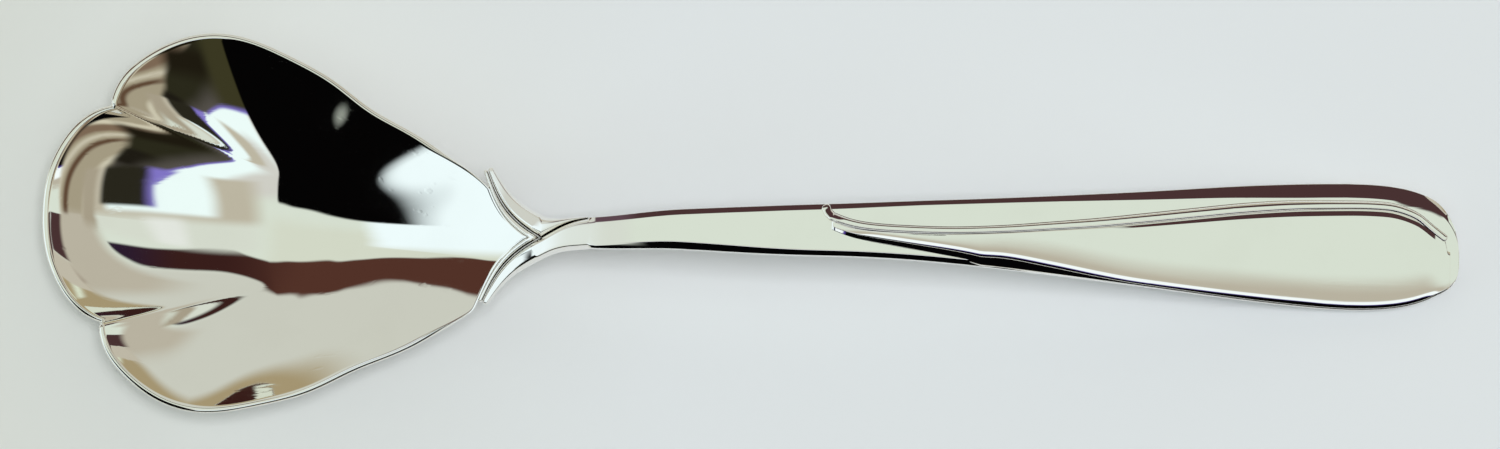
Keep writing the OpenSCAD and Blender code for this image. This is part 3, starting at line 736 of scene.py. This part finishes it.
def polish_group():
    """Fine polishing wear on silver: hairline scratches, soft clouds and a faint unevenness from hand work.
    Puts out a roughness factor, a colour factor and a normal."""
    g = bpy.data.node_groups.new("polish_wear", "ShaderNodeTree")
    socket(g, "Hand work", "NodeSocketFloat", "INPUT", 1.0)
    socket(g, "Roughness", "NodeSocketFloat", "OUTPUT")
    socket(g, "Tone", "NodeSocketFloat", "OUTPUT")
    socket(g, "Normal", "NodeSocketVector", "OUTPUT")
    nodes, links = g.nodes, g.links
    into, out = nodes.new("NodeGroupInput"), nodes.new("NodeGroupOutput")
    where = nodes.new("ShaderNodeTexCoord")

    def noise(scale, detail, stretch=(1, 1, 1), turn=0.0):
        m = nodes.new("ShaderNodeMapping")
        m.inputs["Scale"].default_value = stretch
        m.inputs["Rotation"].default_value = (0, 0, turn)
        links.new(where.outputs["Object"], m.inputs["Vector"])
        n = nodes.new("ShaderNodeTexNoise")
        n.inputs["Scale"].default_value = scale
        n.inputs["Detail"].default_value = detail
        links.new(m.outputs[0], n.inputs["Vector"])
        return n.outputs["Fac"]

    def narrow(value, low, high):
        n = nodes.new("ShaderNodeMapRange")
        n.inputs["From Min"].default_value = low
        n.inputs["From Max"].default_value = high
        links.new(value, n.inputs["Value"])
        return n.outputs[0]

    def calc(kind, a, b):
        return math_node(nodes, links, kind, a, b)

    lines = [narrow(noise(900, 2, (0.04, 1, 1), turn), 0.66, 0.78) for turn in HAIR_TURNS]
    hairs = calc("MAXIMUM", calc("MAXIMUM", lines[0], lines[1]), lines[2])
    rough = calc("ADD", calc("MULTIPLY", noise(70, 3), 0.6), calc("MULTIPLY", hairs, 0.8))
    links.new(calc("ADD", rough, 0.4), out.inputs["Roughness"])
    tarnish = narrow(noise(160, 4), 0.5, 0.8)
    links.new(calc("SUBTRACT", 1.0, calc("MULTIPLY", tarnish, 0.05)), out.inputs["Tone"])
    bump = nodes.new("ShaderNodeBump")
    bump.inputs["Distance"].default_value = 0.00002
    links.new(calc("MULTIPLY", into.outputs["Hand work"], 0.6), bump.inputs["Strength"])
    links.new(noise(110, 1), bump.inputs["Height"])
    fine = nodes.new("ShaderNodeBump")
    fine.inputs["Distance"].default_value = 0.000002
    fine.inputs["Strength"].default_value = 0.5
    links.new(hairs, fine.inputs["Height"])
    links.new(bump.outputs[0], fine.inputs["Normal"])
    links.new(fine.outputs[0], out.inputs["Normal"])
    return g


def silver(name):
    """Polished silver with the wear group on a metal shader."""
    m = bpy.data.materials.new(name)
    m.use_nodes = True
    nodes, links = m.node_tree.nodes, m.node_tree.links
    bsdf = nodes["Principled BSDF"]
    bsdf.inputs["Metallic"].default_value = 1.0
    g = nodes.new("ShaderNodeGroup")
    g.node_tree = POLISH
    g.inputs["Hand work"].default_value = HAND_WORK
    mix = nodes.new("ShaderNodeMix")
    mix.data_type = "RGBA"
    mix.inputs["A"].default_value = (*WORN_SILVER, 1)
    mix.inputs["B"].default_value = (*SILVER, 1)
    links.new(g.outputs["Tone"], mix.inputs["Factor"])
    links.new(mix.outputs["Result"], bsdf.inputs["Base Color"])
    rough = math_node(nodes, links, "MULTIPLY", g.outputs["Roughness"], ROUGHNESS)
    links.new(rough, bsdf.inputs["Roughness"])
    links.new(g.outputs["Normal"], bsdf.inputs["Normal"])
    return m


# Camera
IMAGE_W, SENSOR_W = 1500, 36
MM_PER_PIXEL, TILT, ROLL, CAMERA_DIST = 0.1112, 3.9, 1.0, 450.0
CAMERA_AIM = np.array([-0.494, 1.464, 0.0])


def add_camera():
    """Looks down on the table, tilted and rolled a little, with CAMERA_AIM in the picture's middle."""
    back = np.array([0, -sind(TILT), cosd(TILT)])
    right, up = np.array([1.0, 0, 0]), np.cross(back, [1.0, 0, 0])
    right, up = cosd(ROLL) * right + sind(ROLL) * up, -sind(ROLL) * right + cosd(ROLL) * up
    data = bpy.data.cameras.new("camera")
    data.sensor_width = SENSOR_W
    data.lens = SENSOR_W * CAMERA_DIST / (IMAGE_W * MM_PER_PIXEL)
    data.clip_start, data.clip_end = 0.01, 20
    camera = bpy.data.objects.new("camera", data)
    place_at = (CAMERA_AIM + back * CAMERA_DIST) / 1000
    rows = np.column_stack([right, up, back, place_at]).tolist() + [[0, 0, 0, 1]]
    camera.matrix_world = Matrix(rows)
    bpy.context.scene.collection.objects.link(camera)
    bpy.context.scene.camera = camera


# Studio
# The second floor colour is painted shade: the floor turns darker and warmer from x = -0.01 m to -0.1 m,
# towards the bowl's side, for light that falls off there.
FLOOR_COLOUR, SHADED_FLOOR_COLOUR, FLOOR_SHADE_FROM, FLOOR_SHADE_TO = (0.80, 0.825, 0.874), (0.74, 0.755, 0.725), -0.01, -0.1
FLOOR_HALF = 3.0
LAMP_SIZE, LAMP_POWER, LAMP_AT = 0.25, 4.4, (0.1, 0.0, 1.0)
CURVE_SPAN = 100.0


def shown(r, g, b):
    """Light whose reflection in silver shows as this 8-bit colour."""
    return [((c / 255 + 0.055) / 1.055) ** 2.4 / t for c, t in zip((r, g, b), SILVER)]


class Light:
    """Builds a light's colour as a function of two coordinates u and v. For the studio they are a direction
    unrolled to a disc, in degrees from straight up: u towards +X and v towards +Y. For a card they are its
    own X and Y in millimetres."""

    def __init__(self, tree):
        self.nodes, self.links, self.colour = tree.nodes, tree.links, None
        self.where = self.nodes.new("ShaderNodeTexCoord")

    def split(self, output):
        n = self.nodes.new("ShaderNodeSeparateXYZ")
        self.links.new(self.where.outputs[output], n.inputs[0])
        return n.outputs

    def unroll(self):
        x, y, z = self.split("Generated")
        self.angle = self.times(self.math("ARCCOSINE", z), float(np.degrees(1)))
        square = self.math("ADD", self.times(x, x), self.times(y, y))
        flat = self.math("SQRT", self.math("MAXIMUM", square, 1e-12))
        share = self.math("DIVIDE", self.angle, flat)
        self.u, self.v = self.times(x, share), self.times(y, share)

    def lie_flat(self):
        x, y, _ = self.split("Object")
        self.u, self.v = self.times(x, 1000.0), self.times(y, 1000.0)

    def math(self, kind, a, b=None):
        return math_node(self.nodes, self.links, kind, a, b)

    def times(self, a, b):
        return self.math("MULTIPLY", a, b)

    def minus(self, a, b):
        return self.math("SUBTRACT", a, b)

    def curve(self, points, value):
        """Smooth curve through points, both ways in degrees from -CURVE_SPAN to CURVE_SPAN."""
        n = self.nodes.new("ShaderNodeFloatCurve")
        line = n.mapping.curves[0]
        whole = 2 * CURVE_SPAN
        pairs = [((x + CURVE_SPAN) / whole, (y + CURVE_SPAN) / whole) for x, y in points]
        line.points[0].location, line.points[1].location = pairs[0], pairs[-1]
        for pair in pairs[1:-1]:
            line.points.new(*pair)
        for point in line.points:
            point.handle_type = "AUTO_CLAMPED"
        n.mapping.update()
        self.links.new(self.math("ADD", self.math("DIVIDE", value, whole), 0.5), n.inputs["Value"])
        return self.times(self.minus(n.outputs[0], 0.5), whole)

    def step(self, value, width):
        """0 to 1 as value passes zero, within width."""
        n = self.nodes.new("ShaderNodeMapRange")
        n.interpolation_type = "SMOOTHSTEP"
        n.inputs["From Min"].default_value = -width / 2
        n.inputs["From Max"].default_value = width / 2
        self.links.new(value, n.inputs["Value"])
        return n.outputs[0]

    def over(self, value, low, width):
        return self.step(self.minus(value, low), width)

    def under(self, value, high, width):
        return self.step(self.minus(high, value), width)

    def between(self, value, low, high, width):
        return self.times(self.over(value, low, width), self.under(value, high, width))

    def patch(self, centre, half, turn, width):
        """Rounded patch round a direction, with its half sizes and its turn in degrees."""
        p, q = self.minus(self.u, centre[0]), self.minus(self.v, centre[1])
        c, s = float(cosd(turn)), float(sind(turn))
        along = self.math("ADD", self.times(p, c), self.times(q, s))
        across = self.minus(self.times(q, c), self.times(p, s))
        return self.times(self.under(self.math("ABSOLUTE", along), half[0], width),
                          self.under(self.math("ABSOLUTE", across), half[1], width))

    def lay(self, colour, *masks):
        """Lays a colour, or a blend of colours, over what is there, where all masks are 1."""
        factor = masks[0]
        for mask in masks[1:]:
            factor = self.times(factor, mask)
        self.colour = self.blend(self.colour, colour, factor)

    def blend(self, first, second, factor):
        n = self.nodes.new("ShaderNodeMix")
        n.data_type = "RGBA"
        self.links.new(factor, n.inputs["Factor"])
        self.put(first, n.inputs["A"])
        self.put(second, n.inputs["B"])
        return n.outputs["Result"]

    def put(self, colour, target):
        if isinstance(colour, (list, tuple)):
            target.default_value = (*colour, 1)
        else:
            self.links.new(colour, target)


# Edges of the studio's zones, as points of a curve in degrees: v by u, and for DIM_RIGHT u by v
STRIP_TOP = [(-90, 53), (-57, 50), (-55.5, 47), (-54, 43), (-50, 43.8), (-45, 47), (-40, 49), (-36, 47.8),
             (-32, 44.6), (-19, 41.4), (-9.6, 37.6), (1.6, 33), (8, 31.4), (24, 30.6), (32, 29), (36, 26.2),
             (40, 21.4), (43, 15)]
STRIP_LOW = [(-90, 22), (-62, 22), (-60, 20.5), (-58, 24), (-55, 26), (-50, 28), (-46, 28), (-40, 25.4),
             (-24, 22.2), (-8, 19), (-2.4, 17), (3.2, 14.2), (10.4, 13.6), (24, 16.2), (32, 17), (43, 17)]
WHITE_TOP = [(-20, -36), (-8, -38), (0, -34), (5, -29), (10, -24), (33, -22)]
DIM_TOP = [(-30, -55), (-14, -53), (-5, -51.4), (0, -49.8), (5, -46.5), (10, -42), (14, -37.5), (18, -33.5),
           (22, -29), (25, -26), (50, -24)]
DIM_RIGHT = [(-90, 0), (-76, 7), (-72, 12), (-69, 17), (-66, 21), (-60, 25), (-50, 29), (-38, 35),
             (-28, 39.5), (-15, 43.5), (10, 46)]
BLACK_CARD = dict(left=-60.4, right=-18, top=-14)

# Arcs low in the studio: colour, angle from and to with the width of each edge, u over, v under with widths
ARCS = [((202, 197, 174), (49, 3), (52, 3), (30, 10), (4, 6)),
        ((94, 72, 54), (60.5, 2.6), (63.5, 2.6), (26, 20), (2, 10)),
        ((196, 190, 168), (65.5, 2.6), (68, 2.6), (20, 20), (14, 10)),
        ((124, 104, 84), (70, 3), (76, 4), (10, 20), (24, 20)),
        ((206, 200, 176), (76.5, 3), (80, 3), (0, 20), (30, 20))]
PALE_GREEN, BRIGHT, VIOLET = shown(214, 223, 208), shown(236, 252, 248), shown(128, 116, 196)
GREY, SHADE = shown(184, 178, 160), shown(212, 218, 206)


def add_world():
    """Soft light all round with a pale middle, a long brown strip, a black card, a bright zone with a dim
    one behind it, and low arcs, because silver shows only what is round it."""
    world = bpy.data.worlds.new("studio")
    world.use_nodes = True
    bpy.context.scene.world = world
    light = Light(world.node_tree)
    light.unroll()
    u, v, angle = light.u, light.v, light.angle
    light.colour = light.blend(PALE_GREEN, shown(200, 202, 189), light.over(v, 30, 12))
    light.lay(shown(210, 216, 198), light.under(u, -12, 14), light.between(v, -4, 30, 14))
    light.lay(shown(206, 206, 197), light.under(v, -17, 10), light.over(u, -24, 10))
    light.lay(GREY, light.over(angle, 47, 7), light.over(u, 20, 20), light.under(v, 60, 20))
    light.lay(shown(163, 154, 130), light.over(angle, 47, 5), light.over(u, 6, 6), light.under(v, 0, 8))
    lower_right = light.math("ADD", angle, light.times(light.math("MAXIMUM", u, 0.0), 0.25))
    light.lay(shown(164, 149, 114), light.over(lower_right, 85, 5), light.over(v, 20, 20))
    for colour, start, stop, right_of, below in ARCS:
        light.lay(shown(*colour), light.over(angle, *start), light.under(angle, *stop),
                  light.over(u, *right_of), light.under(v, *below))
    light.lay(shown(110, 84, 68), light.patch((57, 44), (1.6, 9), 40, 5))
    light.lay(shown(214, 222, 198), light.patch((52, 58), (1.6, 9), 24, 4))

    depth = light.minus(light.curve(DIM_TOP, u), v)
    inside = light.minus(light.curve(DIM_RIGHT, v), u)
    light.lay(BRIGHT, light.step(light.minus(light.curve(WHITE_TOP, u), v), 10), light.over(u, -17, 4),
              light.under(u, 27, 4), light.under(depth, 2, 2))
    light.lay(shown(238, 252, 252), light.under(u, -54, 6), light.between(v, -52, 14, 8))
    dim = light.blend(shown(84, 80, 74), shown(42, 41, 27), light.over(depth, 9, 16))
    dim = light.blend(dim, shown(58, 56, 34), light.under(u, 0, 14))
    dim = light.blend(VIOLET, dim, light.over(depth, 1.6, 3.2))
    light.lay(dim, light.step(depth, 2.2), light.over(u, -30, 2), light.step(inside, 5))
    light.lay(shown(30, 27, 20), light.patch((31, -38), (5, 9), -32, 8), light.step(inside, 4))
    light.lay(shown(30, 26, 16), light.patch((12, -68), (12, 6), 0, 9))
    light.lay(shown(3, 2, 2), light.between(u, BLACK_CARD["left"], BLACK_CARD["right"], 2),
              light.under(v, BLACK_CARD["top"], 2.4))

    strip = light.blend(shown(82, 50, 40), shown(56, 30, 27), light.over(u, -12, 44))
    strip = light.blend(strip, shown(42, 28, 46), light.over(u, 30, 18))
    light.lay(strip, light.step(light.minus(light.curve(STRIP_TOP, u), v), 3),
              light.step(light.minus(v, light.curve(STRIP_LOW, u)), 2), light.under(u, 43, 2))
    background = world.node_tree.nodes["Background"]
    light.links.new(light.colour, background.inputs["Color"])
    background.inputs["Strength"].default_value = 1.0
    world.cycles.sampling_method = "NONE"


def add_card(name, low, high, level):
    """Flat card close above the silver, seen in it only. Returns its light and a function that hangs it up,
    solid where a mask is 1."""
    corners = [(x / 1000, y / 1000, 0) for x, y in (low, (low[0], high[1]), high, (high[0], low[1]))]
    mesh = bpy.data.meshes.new(name)
    mesh.from_pydata(corners, [], [(0, 1, 2, 3)])
    card = bpy.data.objects.new(name, mesh)
    card.location = (0, 0, level / 1000)
    bpy.context.scene.collection.objects.link(card)
    card.visible_camera = card.visible_diffuse = card.visible_shadow = card.visible_transmission = False
    m = bpy.data.materials.new(name + "_light")
    m.use_nodes = True
    tree = m.node_tree
    tree.nodes.remove(tree.nodes["Principled BSDF"])
    light = Light(tree)
    light.lie_flat()

    def hang(mask):
        shine, clear, mix = (tree.nodes.new("ShaderNode" + kind)
                             for kind in ("Emission", "BsdfTransparent", "MixShader"))
        light.links.new(light.colour, shine.inputs["Color"])
        light.links.new(mask, mix.inputs[0])
        light.links.new(clear.outputs[0], mix.inputs[1])
        light.links.new(shine.outputs[0], mix.inputs[2])
        light.links.new(mix.outputs[0], tree.nodes["Material Output"].inputs["Surface"])
        mesh.materials.append(m)
    return light, hang


def add_bowl_card():
    """Pale, with a bright zone and a dark bar on one side of it."""
    light, hang = add_card("bowl_card", (-70, -30), (-20, 15), 40)
    u, v = light.u, light.v
    light.colour = light.blend(shown(188, 182, 162), shown(212, 218, 204), light.over(v, 0, 3))
    light.lay(shown(166, 157, 136), light.over(u, -36.5, 3))
    light.lay(shown(226, 230, 222), light.patch((-47.6, 4), (1.6, 4), 0, 2))
    light.lay(BRIGHT, light.between(u, -53, -40, 3), light.under(v, -1.2, 1.6))
    bar = light.blend(VIOLET, shown(40, 38, 28), light.over(u, -46.4, 1.8))
    lean = light.times(light.math("MAXIMUM", light.minus(-9.0, v), 0.0), -0.34)
    light.lay(bar, light.over(light.minus(u, lean), -47, 0.8), light.under(v, -2.4, 1.2),
              light.under(u, -38.4, 2.4))
    hang(light.times(light.between(u, -60, -30, 5), light.between(v, -17, 8, 4)))


def add_fork_card():
    """Bright, just over the fork's arms, with a brown side over the neck."""
    light, hang = add_card("fork_card", (-39, -15), (-14.5, 15), 20.5)
    u, v = light.u, light.v
    light.colour = light.blend(shown(238, 250, 250), SHADE, light.over(u, -22, 8))
    light.lay(shown(204, 206, 196), light.over(v, 2, 3))
    light.lay(shown(92, 70, 78), light.over(v, 2.1, 0.8), light.over(u, -21.5, 3))
    hang(light.times(light.between(u, -37.5, -16, 3), light.between(v, -13, 13, 3)))


def add_handle_card():
    """Pale, with a long brown edge on one side and a bright edge over black on the other. The edges follow
    the handle's turn: across is measured from its middle line, and below is the same, drawn out over the
    stem."""
    light, hang = add_card("handle_card", (-32, -260), (200, 60), 30)
    u, v = light.u, light.v
    across = light.minus(v, light.times(light.over(u, 30, 44), 5.5))
    below = light.times(across, light.minus(2.1, light.times(light.over(u, 38, 56), 1.1)))
    light.colour = light.blend(PALE_GREEN, shown(190, 184, 166), light.over(across, 24, 8))
    light.lay(GREY, light.under(below, -12, 7))
    light.lay(shown(244, 252, 250), light.under(below, -20, 3))
    light.lay(shown(88, 70, 150), light.under(below, -31, 2))
    light.lay(shown(4, 3, 4), light.under(below, -33, 2))
    light.lay(shown(72, 50, 50), light.between(across, 4.5, 25, 1.2))
    hang(light.times(light.over(u, -26, 6), light.between(v, -255, 56, 6)))


def add_floor():
    """Pale floor with painted shade: its colour turns a little darker and warmer towards the bowl's side,
    standing in for light that falls off there.
    """
    mesh = bpy.data.meshes.new("floor")
    corners = [(x * FLOOR_HALF, y * FLOOR_HALF, 0) for x, y in ((-1, -1), (1, -1), (1, 1), (-1, 1))]
    mesh.from_pydata(corners, [], [(0, 1, 2, 3)])
    floor = bpy.data.objects.new("floor", mesh)
    bpy.context.scene.collection.objects.link(floor)
    m = bpy.data.materials.new("floor_paper")
    m.use_nodes = True
    bsdf = m.node_tree.nodes["Principled BSDF"]
    nodes, links = m.node_tree.nodes, m.node_tree.links
    where, split, away, mix = (nodes.new("ShaderNode" + kind)
                               for kind in ("TexCoord", "SeparateXYZ", "MapRange", "Mix"))
    mix.data_type = "RGBA"
    # Painted shade: the floor's colour blends into the darker, warmer one towards the bowl's side.
    away.inputs["From Min"].default_value, away.inputs["From Max"].default_value = FLOOR_SHADE_TO, FLOOR_SHADE_FROM
    mix.inputs["A"].default_value, mix.inputs["B"].default_value = (*SHADED_FLOOR_COLOUR, 1), (*FLOOR_COLOUR, 1)
    links.new(where.outputs["Object"], split.inputs[0])
    links.new(split.outputs["X"], away.inputs["Value"])
    links.new(away.outputs[0], mix.inputs["Factor"])
    links.new(mix.outputs["Result"], bsdf.inputs["Base Color"])
    bsdf.inputs["Roughness"].default_value = 0.9
    bsdf.inputs["Specular IOR Level"].default_value = 0.1
    mesh.materials.append(m)


def add_lamp():
    """Large soft lamp that the silver doesn't mirror; it lights the floor and gives the soft shadow."""
    data = bpy.data.lights.new("soft_lamp", "AREA")
    data.shape, data.size, data.energy = "SQUARE", LAMP_SIZE, LAMP_POWER
    lamp = bpy.data.objects.new("soft_lamp", data)
    lamp.location = LAMP_AT
    lamp.rotation_euler = Vector(lamp.location).to_track_quat("Z", "Y").to_euler()
    lamp.visible_glossy = False
    bpy.context.scene.collection.objects.link(lamp)


# Building
bpy.context.scene.view_settings.view_transform = "Standard"
RIM_Y = placed(outer_point(np.arange(0, 360, 0.5), inner_rim(np.arange(0, 360, 0.5))))[..., 1]
MIDDLE_Y = (max(RIM_Y.max(), HANDLE_W / 2) + min(RIM_Y.min(), -HANDLE_W / 2)) / 2
OFFSET = np.array([-TIP_X - OVERALL_L / 2, -MIDDLE_Y, 0])
POLISH = polish_group()
pieces = [make_bowl(), make_bead(), make_stem(), make_upper_arm(), make_leaf(), make_rib()]
for piece in pieces:
    piece.data.materials.append(silver("silver_" + piece.name))
add_camera()
add_floor()
add_world()
add_bowl_card()
add_fork_card()
add_handle_card()
add_lamp()
